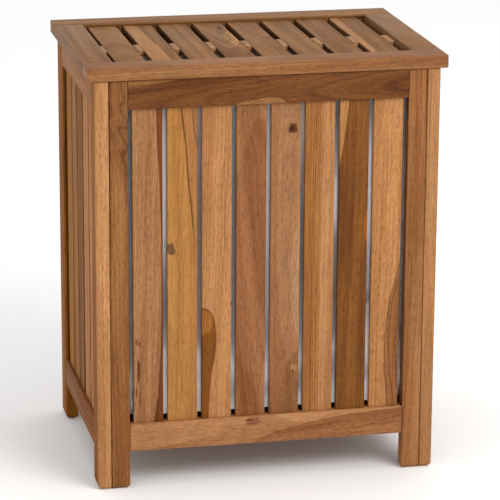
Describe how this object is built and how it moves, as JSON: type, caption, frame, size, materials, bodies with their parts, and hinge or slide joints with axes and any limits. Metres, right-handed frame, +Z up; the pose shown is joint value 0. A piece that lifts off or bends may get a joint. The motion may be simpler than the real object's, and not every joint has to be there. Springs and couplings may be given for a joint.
{
  "type": "laundry hamper",
  "caption": "Free-standing rectangular slatted teak laundry hamper on four short legs, with a hinged slatted lid, a slatted floor and a cloth liner bag.",
  "frame": {"origin": "on the floor, under the middle of the hamper's overall box", "axes": "+Z up, the front panel faces -Y, the hinges are on the +Y side, +X to the right seen from the front"},
  "size_m": [0.5, 0.35, 0.6],
  "materials": {
    "teak": "oiled mid-brown teak, satin, fine straight grain with darker heartwood streaks",
    "teak_light": "oiled golden teak sapwood, satin, fine grain",
    "teak_dark": "oiled dark teak heartwood, satin",
    "teak_lid": "oiled teak, slightly greyer on the upper faces, satin",
    "liner_cloth": "plain-woven pale grey cotton, matt",
    "hinge_steel": "satin stainless steel"
  },
  "bodies": {
    "frame": {"back_panel": "teak", "back_stile_left": "teak", "back_stile_right": "teak", "floor_board_1": "teak", "floor_board_2": "teak", "floor_board_3": "teak", "floor_board_4": "teak", "floor_board_5": "teak", "floor_cleat_left": "teak", "floor_cleat_right": "teak", "front_rail_bottom": "teak", "front_rail_top": "teak", "front_slat_1": "teak", "front_slat_2": "teak_light", "front_slat_3": "teak_light", "front_slat_4": "teak_dark", "front_slat_5": "teak", "front_slat_6": "teak_light", "front_slat_7": "teak_dark", "front_slat_8": "teak_light", "front_stile_left": "teak", "front_stile_right": "teak", "hinge_body_leaf_left": "hinge_steel", "hinge_body_leaf_right": "hinge_steel", "hinge_pin_left": "hinge_steel", "hinge_pin_right": "hinge_steel", "leg_front_left": "teak", "leg_front_right": "teak", "leg_rear_left": "teak", "leg_rear_right": "teak", "liner_bag": "liner_cloth", "side_rail_bottom_left": "teak", "side_rail_bottom_right": "teak", "side_rail_top_left": "teak", "side_rail_top_right": "teak", "side_slat_left_1": "teak", "side_slat_left_2": "teak", "side_slat_left_3": "teak", "side_slat_left_4": "teak", "side_slat_left_5": "teak", "side_slat_right_1": "teak", "side_slat_right_2": "teak", "side_slat_right_3": "teak", "side_slat_right_4": "teak", "side_slat_right_5": "teak"},
    "lid": {"hinge_lid_leaf_left": "hinge_steel", "hinge_lid_leaf_right": "hinge_steel", "lid_batten": "teak_lid", "lid_end_rail_left": "teak_lid", "lid_end_rail_right": "teak_lid", "lid_rail_back": "teak_lid", "lid_rail_front": "teak_lid", "lid_slat_1": "teak_lid", "lid_slat_2": "teak_lid", "lid_slat_3": "teak_lid", "lid_slat_4": "teak_lid", "lid_slat_5": "teak_lid", "lid_slat_6": "teak_lid", "lid_slat_7": "teak_lid", "lid_slat_8": "teak_lid"}
  },
  "joints": [
    {"name": "lid_hinge", "type": "hinge", "parent": "frame", "child": "lid", "pos_m": [0, 0.173, 0.58185], "axis": [-1, 0, 0], "range_deg": [0, 95]}
  ]
}
